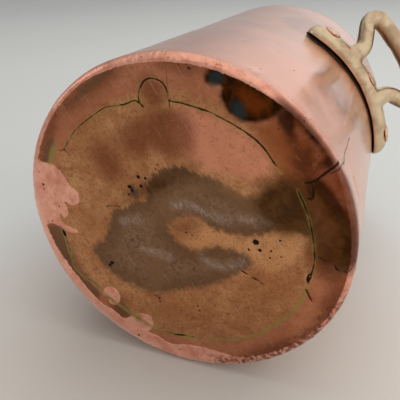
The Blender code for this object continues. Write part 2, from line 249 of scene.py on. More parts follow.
HOLES = [  # gaps left in the brazing
    (-85.5, -34, 1.3, 3.2, 20), (-49, 75, 5.5, 0.8, 20), (65.5, 61.5, 1.3, 3.6, 40), (69, -83, 1.2, 0.9, 30),
]
PITS = [  # x, y and half width
    (47, 27, 2.0), (46.5, 33, 1.3), (40, 30, 0.9), (62, 31.5, 0.9), (53, 36, 0.8), (57, 42, 0.8), (50, 40, 0.7),
    (7, 3, 0.8), (10, 6, 0.7), (9, 1, 0.6), (-74, -72, 1.0), (-70, -81, 0.8), (-76, -69, 0.8), (-85, 65, 1.1),
    (-58, 87, 0.9), (-20, 57, 0.9), (-21, 61, 0.8), (-45, 41, 0.9), (-47, 44, 0.7), (101, -43, 0.9), (96, -30, 0.7),
    (-88, -46, 0.7), (-92, -47, 0.6), (-67, -53, 0.6), (-73, -53, 0.7), (-75, -56, 0.6), (-64, 2, 1.6), (-67, 3, 1.4),
    (-1, -44, 1.3), (-3, -38, 1.2), (-11, -41, 1.4), (-11, -38, 1.1), (3, -41, 1.0), (-15, -37, 0.8), (14, -43, 0.7),
    (17, -45, 0.7), (-3, 92, 0.5), (12, 84, 0.5), (28, 57, 0.5), (36, -86, 0.4), (5, -108, 0.7), (110, -18, 0.6),
]


WORN_FROM = [  # azimuth in degrees, and the distance from the middle at which the corner is worn bright
    (-180, 102), (-140, 108), (-110, 110), (-90, 111), (-60, 110), (-30, 111), (0, 113), (12, 111), (35, 111),
    (60, 111), (90, 108), (110, 104), (140, 100), (180, 102),
]
ROUGH_AZIMUTH = 78  # the middle of the chipped stretch of the corner


def layers_of(at):
    """Every mark at places on the base, in millimetres. Each is positive inside the mark."""
    reach = np.hypot(at[:, 0], at[:, 1])
    azimuth = np.degrees(np.arctan2(at[:, 1], at[:, 0]))
    bright = [patch(at, outline) for outline in (TORN, TONGUE_LOW, TONGUE_HIGH, FLANGE_BAND)]
    top, right, low, left = (-line_mark(at, line) for line in (SEAM_TOP, SEAM_RIGHT, SEAM_LOW, SEAM_LEFT))
    return {
        "reach": reach,
        "soot": patch(at, SOOT),
        "ember": patch(at, EMBER),
        "clean": patch(at, CLEAN),
        "shade": spots(at, SHADES),
        "bright": most(*bright, reach - np.interp(azimuth, *zip(*WORN_FROM))),
        "burn": patch(at, BURN),
        "singe": most(patch(at, EMBER_BURN), spot(at, *SINGE)),
        "teal": spots(at, TEAL),
        "murk": most(patch(at, DARK_BAND), patch(at, SHADE_LEFT), patch(at, SMUDGE), spots(at, MURK)),
        "russet": patch(at, RUSSET),
        "lobe": most(spots(at, LOBES), spot(at, *LOBE_ABOVE) - 2),
        "glint": most(*(GLINT_WIDTH - line_mark(at, line) for line in GLINTS)),
        "rough": np.minimum(reach - 105, 14 - np.abs(azimuth - ROUGH_AZIMUTH) / 2.2),
        "olive": most(low + 1.2, left + 1.6, top + 0.5, right + 0.6, spots(at, OLIVE)),
        "crack": most(
            right, *(-line_mark(at, tick) for tick in TICKS), 0.2 - line_mark(at, SIDE_CRACK),
            top - 0.3 * (at[:, 0] < 18), left - 0.35,
        ),
        "pit": spots(at, HOLES + PITS),
    }


# Surfaces

def waves(at, length, seed, count=9):
    """Smooth random undulation between about -1 and 1, for places in any number of dimensions."""
    pick = np.random.default_rng(seed)
    out = np.zeros(len(at))
    for _ in range(count):
        direction = pick.normal(size=at.shape[1])
        direction *= 2 * math.pi / length * pick.uniform(0.6, 1.5) / np.linalg.norm(direction)
        out += np.sin(at @ direction + pick.uniform(0, 2 * math.pi))
    return out / math.sqrt(count)


def ease(value, low, high):
    """0 at low and 1 at high, smooth between them."""
    share = np.clip((value - low) / (high - low), 0, 1)
    return share * share * (3 - 2 * share)


BASE_DENTS = [  # x, y, half width and depth
    (-25, -20, 9, 0.6), (24, -8, 8, 0.7), (34, 3, 7, -0.5), (-24, 8, 7, 0.5), (10, 27, 8, 0.6), (58, 13, 7, -0.4),
    (-50, 5, 12, 0.5), (5, -22, 10, -0.4),
]


def base_relief(at, marks):
    """How far each place on the underside is pushed in, in millimetres."""
    depth = 0.45 * waves(at, 70, 4) + 0.12 * waves(at, 22, 5) + 0.03 * waves(at, 6, 6)
    depth *= 1 - ease(marks["reach"], 100, 112)
    depth += 0.5 * (1 - ease(marks["bright"], -0.5, 0.4)) * ease(marks["reach"], 118, 108)
    for x, y, size, deep in BASE_DENTS:
        depth += deep * np.exp(-((at - (x, y)) ** 2).sum(1) / size**2)
    depth += 0.35 * np.exp(-((marks["crack"] / 0.55) ** 2))
    depth += 1.2 * ease(marks["pit"], -0.1, 0.9)
    return depth


def corner_radius(azimuth):
    """The turned bottom edge is worn rounder on one side than on the other."""
    worn = 2.2 * np.exp(-(((np.abs(azimuth) - 180) / 50) ** 2))
    crisp = 1.2 * np.exp(-(((azimuth - 85) / 40) ** 2)) + 2.2 * np.exp(-(((azimuth + 15) / 45) ** 2))
    return 6 + worn - crisp


SIDE_DENTS = [  # azimuth in degrees, height, half width, half height and depth
    (13, 25, 12, 2.2, 0.55), (-45, 69, 1.2, 2.5, 0.35), (-25, 59, 1.5, 2.5, 0.3), (-33, 14, 3, 4, 0.5),
    (-14, 108, 3, 34, 0.16), (-1, 112, 2.2, 46, -0.14), (-60, 30, 12, 9, 0.35), (60, 120, 16, 22, 0.5),
    (150, 90, 14, 20, 0.6), (-120, 200, 18, 14, 0.5), (100, 240, 14, 18, 0.5), (-150, 60, 14, 10, 0.5),
    (35, 60, 10, 14, 0.4), (-80, 150, 22, 30, 0.35),
]


def side_relief(azimuth, height):
    """How far the side is pushed in at an azimuth in degrees and a height in millimetres."""
    at = np.stack([BODY * np.cos(np.radians(azimuth)), BODY * np.sin(np.radians(azimuth)), height], 1)
    depth = 0.22 * waves(at, 120, 11) + 0.10 * waves(at, 45, 12) + 0.02 * waves(at, 14, 13)
    for dent_azimuth, dent_height, wide, tall, deep in SIDE_DENTS:
        across = ((azimuth - dent_azimuth + 180) % 360 - 180) * MM_PER_DEGREE
        depth += deep * np.exp(-((across / wide) ** 2) - ((height - dent_height) / tall) ** 2)
    return depth


def skin(name, rows, loop=False, tips=False, caps=False):
    """A mesh through matching closed rows of points. loop joins the last row to the first; tips makes the first and
    last rows single points; caps closes each of them with one face."""
    count = len(rows[1])
    points = np.vstack([rows[0][:1], *rows[1:-1], rows[-1][:1]] if tips else rows)
    start = 1 if tips else 0
    full = len(rows) - 2 if tips else len(rows)
    one = np.arange(count)
    two = (one + 1) % count
    faces = []
    for row in range(full if loop else full - 1):
        a, b = start + row * count, start + (row + 1) % full * count
        faces += np.stack([a + one, a + two, b + two, b + one], 1).tolist()
    if tips:
        last = start + (full - 1) * count
        end = len(points) - 1
        faces += [[0, 1 + j, 1 + i] for i, j in zip(one, two)]
        faces += [[end, last + i, last + j] for i, j in zip(one, two)]
    if caps:
        faces += [one.tolist(), ((full - 1) * count + one[::-1]).tolist()]
    mesh = bpy.data.meshes.new(name)
    mesh.from_pydata((points * MM).tolist(), [], faces)
    mesh.shade_smooth()
    return mesh


def add_piece(name, mesh, slot_name, *nodes):
    piece = bpy.data.objects.new(name, mesh)
    bpy.context.scene.collection.objects.link(piece)
    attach(piece, "root")
    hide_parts(*nodes)
    return piece


def store(mesh, marks):
    """Keep each mark on the mesh, for the material to read; points past the last value have no marks."""
    for name, values in marks.items():
        layer = mesh.attributes.new(name, "FLOAT", "POINT")
        full = np.full(len(mesh.vertices), -FAR, np.float32)
        full[: len(values)] = values
        layer.data.foreach_set("value", full)


def seam_columns():
    """Points along the middle of the brazed ring, close together at its tab and at the side seam, and their
    outward normals."""
    line = smooth_line(SEAM, closed=True, steps=24)
    steps = np.linalg.norm(np.diff(line, axis=0), axis=1)
    azimuth = np.degrees(np.arctan2(line[:, 1], line[:, 0]))[:-1]
    weight = 1 + 2.0 * (np.abs(azimuth - 2) < 6) + 0.8 * (np.abs(azimuth + 63) < 9)
    travel = np.concatenate([[0], np.cumsum(steps * weight)])
    at = np.linspace(0, travel[-1], COLUMNS, endpoint=False)
    points = np.stack([np.interp(at, travel, line[:, axis]) for axis in (0, 1)], 1)
    run = np.roll(points, -1, 0) - np.roll(points, 1, 0)
    run = run + np.roll(run, 1, 0) + np.roll(run, -1, 0)
    normal = np.stack([run[:, 1], -run[:, 0]], 1) / np.linalg.norm(run, axis=1)[:, None]
    return points, normal * np.sign((normal * points).sum(1))[:, None]


COLUMN_POINTS, COLUMN_NORMALS = seam_columns()
ANGLE = np.arctan2(COLUMN_POINTS[:, 1], COLUMN_POINTS[:, 0])
SPOKE = np.stack([np.cos(ANGLE), np.sin(ANGLE)], 1)
AZIMUTH = np.degrees(ANGLE)


def at_height(flat, height):
    return np.column_stack([flat, np.broadcast_to(height, len(flat))])


def body_surface(plan):
    """The outside of the body at unrolled places, where its side carries on from the underside: the points, their
    inward directions and their marks."""
    reach = np.hypot(plan[:, 0], plan[:, 1])
    azimuth = np.degrees(np.arctan2(plan[:, 1], plan[:, 0]))
    spoke = plan / np.maximum(reach, 1e-6)[:, None]
    corner = corner_radius(azimuth)
    flat = BODY - corner
    turn = np.clip((reach - flat) / corner, 0, math.pi / 2)
    radius = np.minimum(reach, flat) + corner * np.sin(turn)
    height = corner * (1 - np.cos(turn)) + np.maximum(reach - flat - corner * math.pi / 2, 0)
    inward = at_height(-spoke * np.sin(turn)[:, None], np.cos(turn))
    points = at_height(spoke * radius[:, None], height)
    marks = layers_of(plan)
    marks.update(side_marks(azimuth, height, reach))
    relief = base_relief(plan, marks) * np.cos(turn)
    relief += side_relief(azimuth, height) * np.sin(turn)
    edge = np.abs(reach - EDGE) < 14
    nicks = np.zeros(len(plan))
    nicks[edge] = [noise.noise(Vector(p) * 0.33) + 0.5 * noise.noise(Vector(p) * 0.9) for p in points[edge]]
    relief += 0.4 * nicks * np.exp(-(((reach - EDGE) / 4.5) ** 2))
    return points + inward * relief[:, None], inward, marks


def make_wall():
    """The copper sheet: underside flange, worn corner, side, rim and inside."""
    corner = corner_radius(AZIMUTH)
    start = COLUMN_POINTS + COLUMN_NORMALS * SEAM_WIDTH / 2
    flat_end = SPOKE * (BODY - corner)[:, None]
    plans = [start + (flat_end - start) * share for share in np.linspace(0, 1, 30) ** 1.35]
    plans += [SPOKE * (BODY - corner + corner * turn)[:, None] for turn in np.linspace(0, math.pi / 2, 13)[1:]]
    side_start = BODY + corner * (math.pi / 2 - 1)
    side = TOP - RIM - corner
    plans += [SPOKE * (side_start + side * share)[:, None] for share in np.linspace(0, 1, 96)[1:] ** 1.25]
    points, _, marks = body_surface(np.vstack(plans))
    rows = np.split(points, len(plans))
    middle = BODY - SHEET / 2
    for turn in np.linspace(0, math.pi, 7)[1:]:
        radius, level = middle + SHEET / 2 * math.cos(turn), TOP - RIM + RIM * math.sin(turn)
        rows.append(inside_row(radius, level))
    for level in np.linspace(TOP - RIM, 12, 24)[1:]:
        rows.append(inside_row(BODY - SHEET, level))
    inner = np.maximum(corner - SHEET, 3)
    for turn in np.linspace(math.pi / 2, 0, 5):
        flat = SPOKE * (BODY - SHEET - inner + inner * math.sin(turn))[:, None]
        rows.append(at_height(flat, SHEET + inner * (1 - math.cos(turn))))
    rows.append(at_height(start, SHEET))
    mesh = skin("copper_wall", rows, loop=True)
    inside = len(mesh.vertices) - len(points)  # the rim and the inside are bright copper without marks
    marks["reach"] = np.concatenate([marks["reach"], np.full(inside, 400.0)])
    marks["bright"] = np.concatenate([marks["bright"], np.full(inside, FAR)])
    store(mesh, marks)
    return add_piece("copper_wall", mesh, "copper", "wall_sheet")


def inside_row(radius, level):
    """A row of the inside of the wall, which follows the dents of the outside."""
    push = side_relief(AZIMUTH, np.full(COLUMNS, level))
    return at_height(SPOKE * (radius - push)[:, None], level)


SIDE_SEAM = [(5.0, -2), (4.6, 6), (6.2, 14), (5.2, 22), (4.6, 30), (5.4, 38), (4.8, 46), (5.2, 54)]
SIDE_SEAM_HIGH = [(-2.4, 60), (-2.8, 80), (-2.2, 100), (-3.0, 125), (-2.4, 150), (-2.8, 215)]
SIDE_SEAM_TOP = [(4.6, 216), (5.0, 250), (4.4, 286), (4.8, 307.5)]


SCRATCHES = [
    [(17, 26), (25, 24.5), (36, 26)], [(-91, 66), (-89.6, 71)], [(-51, 58), (-49, 60)],
    *([(x, y), (x + 1.5, y + 2)] for x, y in ((-66, 21), (-70, 12), (-40, 9), (-88, 7), (-14, 8))),
]
GREEN = [(-13.5, 75, 2.2, 4.5), (5.5, 14, 2, 6)]
DULL = [(-20, 108, 13, 30, 12), (12, 112, 14, 34), (-60, 200, 30, 40), (90, 130, 20, 50, 20)]


def side_marks(azimuth, height, reach):
    """Marks on the side of the body: the seam's dark line and its brass, scratches, green and dull places. They are
    placed by their distance round the wall from the right handle's middle, and by their height."""
    at = np.stack([azimuth * MM_PER_DEGREE, height], 1)
    found = {
        "line": most(*(-line_mark(at, line) for line in (SIDE_SEAM, *SCRATCHES))),
        "brass": most(-line_mark(at, SIDE_SEAM_HIGH), -line_mark(at, SIDE_SEAM_TOP)),
        "green": spots(at, GREEN),
        "dull": spots(at, DULL),
    }
    return {name: np.where(reach > SIDE_FROM, values, -FAR) for name, values in found.items()}


def make_side_seam():
    """The brazed strip of the wall's own seam, let in along the underside and up the side."""
    rise = BODY + corner_radius(np.zeros(1))[0] * (math.pi / 2 - 2)
    path = [(4.0, reach) for reach in np.arange(92, 112, 1.0)]
    for line in (SIDE_SEAM[1:], SIDE_SEAM_HIGH, SIDE_SEAM_TOP):
        path += [(x, y + rise) for x, y in smooth_line(line, steps=8)]
    path = np.array(path)
    half = 0.7
    sides = (-half, -half / 3, half / 3, half)
    plans = []
    for offset in sides:
        turn = (path[:, 0] + offset) / np.where(path[:, 1] < BODY, path[:, 1], BODY)
        plans.append(np.stack([path[:, 1] * np.cos(turn), path[:, 1] * np.sin(turn)], 1))
    points, inward, marks = body_surface(np.vstack(plans))
    tops = np.split(points - inward * 0.02, len(sides))
    deep = np.split(points + inward * 1.2, len(sides))
    rings = np.stack([*tops, deep[-1], deep[0]], 1)
    mesh = skin("brazed_side", list(rings), caps=True)
    full = {}
    for name, values in marks.items():
        parts = np.split(values, len(sides))
        full[name] = np.stack([*parts, parts[-1], parts[0]], 1).ravel()
    store(mesh, full)
    return add_piece("brazed_side", mesh, "braze", "side_seam")


def make_base():
    """The base disc, let in to the ring of the wall's turned edge."""
    edge = COLUMN_POINTS - COLUMN_NORMALS * SEAM_WIDTH / 2
    inner = 74.0  # within it the rows are circles
    plans = [SPOKE * max(inner * share, 1e-3) for share in np.linspace(0, 1, 62)]
    plans += [SPOKE * inner + (edge - SPOKE * inner) * share for share in 1 - (1 - np.linspace(0, 1, 22)[1:]) ** 1.25]
    points, _, marks = body_surface(np.vstack([plans[0][:1], *plans[1:]]))
    rows = [points[:1]] + np.split(points[1:], len(plans) - 1)
    rows += [at_height(edge, DISC), at_height(SPOKE * inner, DISC), at_height(SPOKE * inner / 2, DISC)]
    rows.append(at_height(SPOKE[:1] * 0, DISC))
    mesh = skin("copper_base", rows, tips=True)
    store(mesh, marks)
    return add_piece("copper_base", mesh, "burnt_copper", "base_disc")


def make_base_seam():
    """The ring of brazing brass, ground flush with the copper on both sides of it."""
    plans = [COLUMN_POINTS + COLUMN_NORMALS * SEAM_WIDTH * share for share in np.linspace(-0.5, 0.5, 5)]
    points, _, marks = body_surface(np.vstack(plans))
    rows = np.split(points, len(plans))
    rows += [at_height(plans[-1], SHEET), at_height(plans[0], SHEET)]
    mesh = skin("brazed_ring", rows, loop=True)
    store(mesh, marks)
    return add_piece("brazed_ring", mesh, "braze", "base_seam")


def make_lining():
    """The skin of tin over the whole inside, which follows the dents of the wall."""
    top, gap, thick, corner = LINING_TOP / MM, 0.15, 0.45, 5.0

    def face(depth):
        inner = BODY - SHEET - gap - depth
        bottom = DISC + 2 * gap + depth
        rows = [at_height(SPOKE * radius, bottom) for radius in np.linspace(0, inner - corner, 20)]
        for turn in np.linspace(0, math.pi / 2, 7)[1:]:
            flat = SPOKE * (inner - corner + corner * math.sin(turn))
            rows.append(at_height(flat, bottom + corner * (1 - math.cos(turn))))
        rows += [inside_row(inner, level) for level in np.linspace(bottom + corner, top, 70)[1:]]
        return rows

    rows = face(thick) + face(0)[::-1]
    mesh = skin("tinned_inside", rows, tips=True)
    return add_piece("tinned_inside", mesh, "tin", "tin_lining")


def worked(mesh, *modifiers):
    """The mesh after some modifiers, each a type and its settings."""
    item = bpy.data.objects.new("work", mesh)
    bpy.context.scene.collection.objects.link(item)
    for kind, settings in modifiers:
        modifier = item.modifiers.new(kind, kind)
        for key, value in settings.items():
            setattr(modifier, key, value)
    result = bpy.data.meshes.new_from_object(item.evaluated_get(bpy.context.evaluated_depsgraph_get()))
    bpy.data.objects.remove(item)
    return result


def softened(node, voxel, passes, swell):
    """A CAD node's mesh with its edges rounded over, swollen back to its size."""
    return worked(
        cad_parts[node].data.copy(),
        ("REMESH", {"mode": "VOXEL", "voxel_size": voxel * MM}),
        ("SMOOTH", {"factor": 0.5, "iterations": passes}),
        ("DISPLACE", {"strength": swell * MM, "mid_level": 0.0}),
    )


def read(mesh, what):
    values = np.zeros(len(mesh.vertices) * 3)
    mesh.vertices.foreach_get(what, values)
    return values.reshape(-1, 3)


def add_casting(name, mesh, points, slot_name, node):
    """The mesh as a piece, with its points moved to new places in millimetres."""
    mesh.vertices.foreach_set("co", (points * MM).ravel().astype(np.float32))
    mesh.materials.clear()
    mesh.shade_smooth()
    return add_piece(name, mesh, slot_name, node)


def make_handle(side):
    """The casting with soft fillets and the slight unevenness of sand-cast brass, except where it meets the wall."""
    mesh = softened(f"handle_{side}", 0.9, 22, 0.35)
    points = read(mesh, "co") / MM
    outside = ease(np.hypot(points[:, 0], points[:, 1]), BODY + 2, BODY + 6)
    swell = 0.22 * waves(points, 22, 31) + 0.08 * waves(points, 7, 32)
    points += read(mesh, "normal") * (swell * outside)[:, None]
    return add_casting(f"cast_handle_{side}", mesh, points, "cast_brass", f"handle_{side}")


def make_rivet(name, seed):
    """A copper rivet, its heads hammered over a little unevenly."""
    mesh = softened(name, 0.32, 9, 0.1)
    points = read(mesh, "co") / MM
    points += 0.16 * np.stack([waves(points, 6, seed + axis) for axis in range(3)], 1)
    return add_casting(name.replace("rivet", "hammered_rivet"), mesh, points, "copper", name)


# Materials

class Finish:
    """Short forms for building the nodes of a material, whose colour is laid on in coats from the lowest up."""

    def __init__(self, name):
        self.material = bpy.data.materials.new(name)
        self.material.use_nodes = True
        self.nodes = self.material.node_tree.nodes
        self.links = self.material.node_tree.links
        self.shader = self.nodes["Principled BSDF"]
        self.place = self.nodes.new("ShaderNodeTexCoord").outputs["Object"]
        self.colour = None

    def feed(self, socket, value):
        if isinstance(value, bpy.types.NodeSocket):
            self.links.new(value, socket)
        else:
            if hasattr(value, "__len__") and len(value) == 3 and socket.type == "RGBA":
                value = (*value, 1)
            socket.default_value = value

    def node(self, kind, inputs, output=0, **settings):
        node = self.nodes.new(kind)
        for key, value in settings.items():
            setattr(node, key, value)
        for socket, value in inputs.items():
            self.feed(node.inputs[socket], value)
        return node.outputs[output]

    def calc(self, operation, *values):
        return self.node("ShaderNodeMath", dict(enumerate(values)), operation=operation)

    def times(self, first, second, *rest):
        product = self.calc("MULTIPLY", first, second)
        return self.times(product, *rest) if rest else product

    def mark(self, name):
        """A mark stored on the mesh, in millimetres."""
        return self.node("ShaderNodeAttribute", {}, "Fac", attribute_name=name)

    def axis(self, name, of=None):
        return self.node("ShaderNodeSeparateXYZ", {0: of or self.place}, name)

    def noise(self, size, detail=4, rough=0.55, warp=0.0, stretch=None, turn=0.0):
        """Noise whose features are about size millimetres, from 0 to 1."""
        at = self.place
        if stretch:
            at = self.node("ShaderNodeMapping", {"Vector": at, "Rotation": (0, 0, turn), "Scale": stretch})
        inputs = {"Vector": at, "Scale": 1000 / size, "Detail": detail, "Roughness": rough, "Distortion": warp}
        return self.node("ShaderNodeTexNoise", inputs)

    def fade(self, value, low, high):
        inputs = {"Value": value, "From Min": low, "From Max": high}
        return self.node("ShaderNodeMapRange", inputs, interpolation_type="SMOOTHSTEP")

    def mix(self, share, first, second):
        return self.node("ShaderNodeMix", {0: share, 6: first, 7: second}, 2, data_type="RGBA")

    def blend(self, share, first, second):
        return self.node("ShaderNodeMix", {0: share, 2: first, 3: second}, 0)

    def ragged(self, value, amount, size, soft, detail=5):
        """0 outside and 1 inside a mark, with an edge that wanders by an amount in millimetres."""
        wander = self.calc("MULTIPLY_ADD", self.noise(size, detail, 0.6), 2 * amount, -amount)
        return self.fade(self.calc("ADD", value, wander), -soft, soft)

    def coat(self, share, tone, strength=1.0):
        """Lay another tone over the colour so far."""
        if strength < 1:
            share = self.times(share, strength)
        self.colour = self.mix(share, self.colour, tone)

    def hollows(self, shallow, deep):
        """1 in the mesh's creases and hollows, 0 where its pointiness is over the shallow value."""
        return self.fade(self.node("ShaderNodeNewGeometry", {}, "Pointiness"), shallow, deep)

    def bump(self, height, deep, normal=None):
        """deep is the height of the relief in millimetres."""
        inputs = {"Height": height, "Strength": 1.0, "Distance": deep * MM}
        if normal is not None:
            inputs["Normal"] = normal
        return self.node("ShaderNodeBump", inputs)

    def done(self, rough, normal, metal=1.0):
        values = {"Base Color": self.colour, "Roughness": rough, "Metallic": metal, "Normal": normal}
        for socket, value in values.items():
            self.feed(self.shader.inputs[socket], value)
        return self.material


class Copper(Finish):
    """Copper with everything that has happened to it; the marks stored on the mesh say where."""

    def __init__(self, name):
        super().__init__(name)
        self.reach = self.mark("reach")
        self.cloud = self.noise(38, 5, 0.6)
        self.puff = self.noise(11, 5, 0.6, 0.4)
        self.grain = self.noise(2.2, 5, 0.65)
        wipes = self.fade(self.noise(2.5, 3, 0.6, 0, (1, 0.07, 0.3), 0.5), 0.60, 0.72)
        wipes_across = self.fade(self.noise(2.0, 3, 0.6, 0, (0.08, 1, 0.3), -0.3), 0.62, 0.74)
        self.scratched = self.calc("MAXIMUM", wipes, wipes_across)

    def oxide(self):
        """Brown oxide over the whole base, cleaner or darker in places."""
        self.colour = self.mix(self.fade(self.cloud, 0.38, 0.64), (0.47, 0.20, 0.082), (0.62, 0.30, 0.135))
        self.coat(self.fade(self.puff, 0.42, 0.72), (0.42, 0.16, 0.068))
        self.coat(self.fade(self.grain, 0.44, 0.70), (0.21, 0.075, 0.030), 0.55)
        self.rough = self.blend(self.puff, 0.28, 0.44)
        clean = self.ragged(self.mark("clean"), 6, 15, 6)
        self.coat(clean, self.mix(self.puff, (0.78, 0.32, 0.19), (0.62, 0.22, 0.125)))
        flange = self.ragged(self.calc("SUBTRACT", self.reach, FLANGE_FROM), 2.5, 16, 3)
        self.coat(flange, self.mix(self.cloud, (0.42, 0.12, 0.062), (0.58, 0.20, 0.12)), 0.6)
        ember_tone = self.mix(self.puff, (0.74, 0.38, 0.17), (0.56, 0.25, 0.105))
        speckle = self.times(self.fade(self.noise(1.5, 4, 0.75), 0.54, 0.64), 0.6)
        ember_tone = self.mix(speckle, ember_tone, (0.22, 0.075, 0.03))
        self.coat(self.ragged(self.mark("ember"), 5, 9, 4), ember_tone, 0.85)
        self.coat(self.ragged(self.mark("shade"), 4, 12, 6), (0.19, 0.052, 0.020), 0.74)
        self.coat(self.scratched, (0.80, 0.48, 0.33), 0.16)
        dirty = self.times(
            self.fade(self.noise(5, 7, 0.8, 0.6), 0.50, 0.66), self.fade(self.noise(55, 3), 0.36, 0.62)
        )
        self.coat(dirty, (0.17, 0.065, 0.028), 0.42)
        self.coat(self.fade(self.noise(1.3, 2, 0.6), 0.60, 0.72), (0.15, 0.055, 0.025), 0.45)
        self.coat(self.fade(self.noise(1.0, 2, 0.6, 1.0), 0.64, 0.74), (0.80, 0.45, 0.28), 0.35)

    def soot(self):
        """Soot from the fire: licked upward into spikes, with painted highlights in a grey metal tone in places."""
        mark = self.mark("soot")
        low = self.fade(self.axis("Y"), -0.034, -0.012)  # its lower edge is smoother
        spikes = self.calc("MULTIPLY_ADD", self.noise(3.5, 5, 0.65, 0.4, (1, 0.18, 1)), 17.0, -8.5)
        spikes = self.times(spikes, self.blend(low, 1.0, 0.25))
        licked = self.calc("DIVIDE", self.calc("ADD", mark, spikes), self.blend(low, 1.0, 2.2))
        soot = self.ragged(licked, 2.4, 4, 1.4, 8)
        deep = self.ragged(self.calc("SUBTRACT", mark, 10), 6, 12, 9)
        tone = self.mix(deep, (0.165, 0.076, 0.031), (0.24, 0.128, 0.066))
        tone = self.mix(self.fade(self.noise(3, 7, 0.8, 0.3), 0.45, 0.62), tone, (0.13, 0.060, 0.026))
        tone = self.mix(self.fade(self.cloud, 0.52, 0.66), tone, (0.21, 0.10, 0.042))
        fibres = self.fade(self.noise(1.6, 5, 0.8, 0.3, (1, 0.5, 1), 0.6), 0.44, 0.60)
        painted_glint_band = self.ragged(self.mark("glint"), 3.5, 6, 4.5)
        glint = self.times(painted_glint_band, self.calc("MULTIPLY_ADD", fibres, 0.8, 0.2))
        glint = self.calc("MAXIMUM", glint, self.times(self.scratched, 0.22))
        # painted highlights on the soot, and its scratches, in a lighter grey metal tone
        tone = self.mix(self.times(glint, 0.75), tone, (0.44, 0.33, 0.27))
        self.coat(soot, tone)
        self.rough = self.blend(soot, self.rough, self.blend(glint, 0.42, 0.24))
        self.lobe = self.ragged(self.mark("lobe"), 4, 10, 6)
        self.metal = self.calc("MULTIPLY_ADD", self.times(soot, self.calc("SUBTRACT", 1.0, self.lobe)), -0.3, 1.0)

    def stains(self):
        """Darker stains of the flange, and the burnt patch."""
        self.russet = self.ragged(self.mark("russet"), 5, 13, 8)
        tone = self.mix(self.fade(self.noise(20, 6, 0.6), 0.38, 0.64), (0.085, 0.017, 0.004), (0.25, 0.055, 0.010))
        tone = self.mix(self.fade(self.noise(13, 6, 0.7, 0.5), 0.46, 0.60), tone, (0.27, 0.075, 0.035))
        self.coat(self.russet, tone, 0.85)
        murk_tone = self.mix(self.russet, (0.17, 0.085, 0.045), (0.030, 0.008, 0.004))
        self.coat(self.ragged(self.mark("murk"), 2.5, 7, 2.2), murk_tone, 0.86)
        lobe_tone = self.mix(self.fade(self.puff, 0.4, 0.6), (0.050, 0.018, 0.004), (0.10, 0.040, 0.010))
        self.coat(self.lobe, lobe_tone, 0.8)
        rough_rim = self.ragged(self.mark("rough"), 5, 5, 3)
        self.rough_rim = self.times(rough_rim, self.fade(self.noise(4, 5, 0.7), 0.42, 0.58))
        self.coat(self.rough_rim, (0.14, 0.05, 0.03), 0.55)
        burn = self.ragged(self.mark("burn"), 3.0, 7, 2.2, 7)
        singe = self.ragged(self.mark("singe"), 3, 6, 4)
        self.coat(singe, (0.36, 0.10, 0.03), 0.6)
        char = self.mix(self.fade(self.noise(8, 5, 0.65, 0.5), 0.42, 0.60), (0.024, 0.008, 0.002), (0.07, 0.019, 0.003))
        self.coat(burn, self.mix(singe, char, self.mix(self.puff, (0.24, 0.05, 0.008), (0.07, 0.014, 0.002))))
        self.coat(self.ragged(self.mark("teal"), 3.0, 5, 2.2, 7), (0.022, 0.044, 0.045), 0.8)
        self.rough = self.blend(burn, self.rough, 0.45)

    def polished_side(self):
        """The side of the body, rubbed bright, with haze, tarnish and specks."""
        haze = self.fade(self.noise(48, 4, 0.5, 0.8, (1, 1, 0.45)), 0.40, 0.70)
        self.tarnish = self.fade(self.noise(75, 5, 0.6, 1.2, (1, 1, 0.6)), 0.54, 0.74)
        specks = self.times(
            self.fade(self.noise(2.2, 3, 0.7), 0.66, 0.74), self.fade(self.noise(40, 3, 0.5), 0.5, 0.65)
        )
        tone = self.mix(self.fade(self.reach, 150, 290), (0.97, 0.53, 0.41), (0.93, 0.58, 0.47))
        tone = self.mix(self.times(haze, 0.75), tone, (0.88, 0.46, 0.35))
        tone = self.mix(self.times(self.tarnish, 0.40), tone, (0.66, 0.40, 0.36))
        tone = self.mix(self.times(specks, 0.6), tone, (0.38, 0.16, 0.11))
        return self.mix(self.times(self.ragged(self.mark("dull"), 8, 22, 9), 0.6), tone, (0.55, 0.35, 0.32))

    def burnish(self):
        """Bright copper on the worn corner, the torn skin and the whole side."""
        bright = self.ragged(self.mark("bright"), 0.9, 3, 0.35, 7)
        pink = self.mix(self.fade(self.puff, 0.36, 0.68), (0.93, 0.45, 0.32), (0.74, 0.29, 0.19))
        pink = self.mix(self.times(self.fade(self.grain, 0.50, 0.72), 0.5), pink, (0.55, 0.20, 0.12))
        left = self.fade(self.axis("X"), -0.05, -0.10)  # there the side's lighter tone reaches further round the corner, a painted highlight
        self.side = self.fade(self.calc("MULTIPLY_ADD", left, 15.0, self.reach), 113, 130)
        pink = self.mix(self.side, pink, self.polished_side())
        # darker on the corner over the russet stain and the chipped stretch, reaching further up the side where y is
        # positive
        lower = self.fade(self.axis("Y"), -0.005, 0.02)
        near_corner = self.fade(self.reach, self.blend(lower, 118.0, 127.0), self.blend(lower, 113.0, 117.0))
        corner_darkening = self.calc("MAXIMUM", self.rough_rim, self.times(self.russet, 0.95))
        pink = self.mix(self.times(corner_darkening, near_corner, 0.85), pink, (0.13, 0.042, 0.026))
        kept = self.times(self.russet, 0.55, self.fade(self.reach, 117, 113))
        self.bright = self.times(bright, self.calc("SUBTRACT", 1.0, kept))
        self.coat(self.bright, pink)
        side_rough = self.blend(self.calc("MAXIMUM", self.cloud, self.tarnish), 0.14, 0.27)
        pink_rough = self.blend(self.side, self.blend(self.grain, 0.24, 0.40), side_rough)
        self.rough = self.blend(self.bright, self.rough, pink_rough)

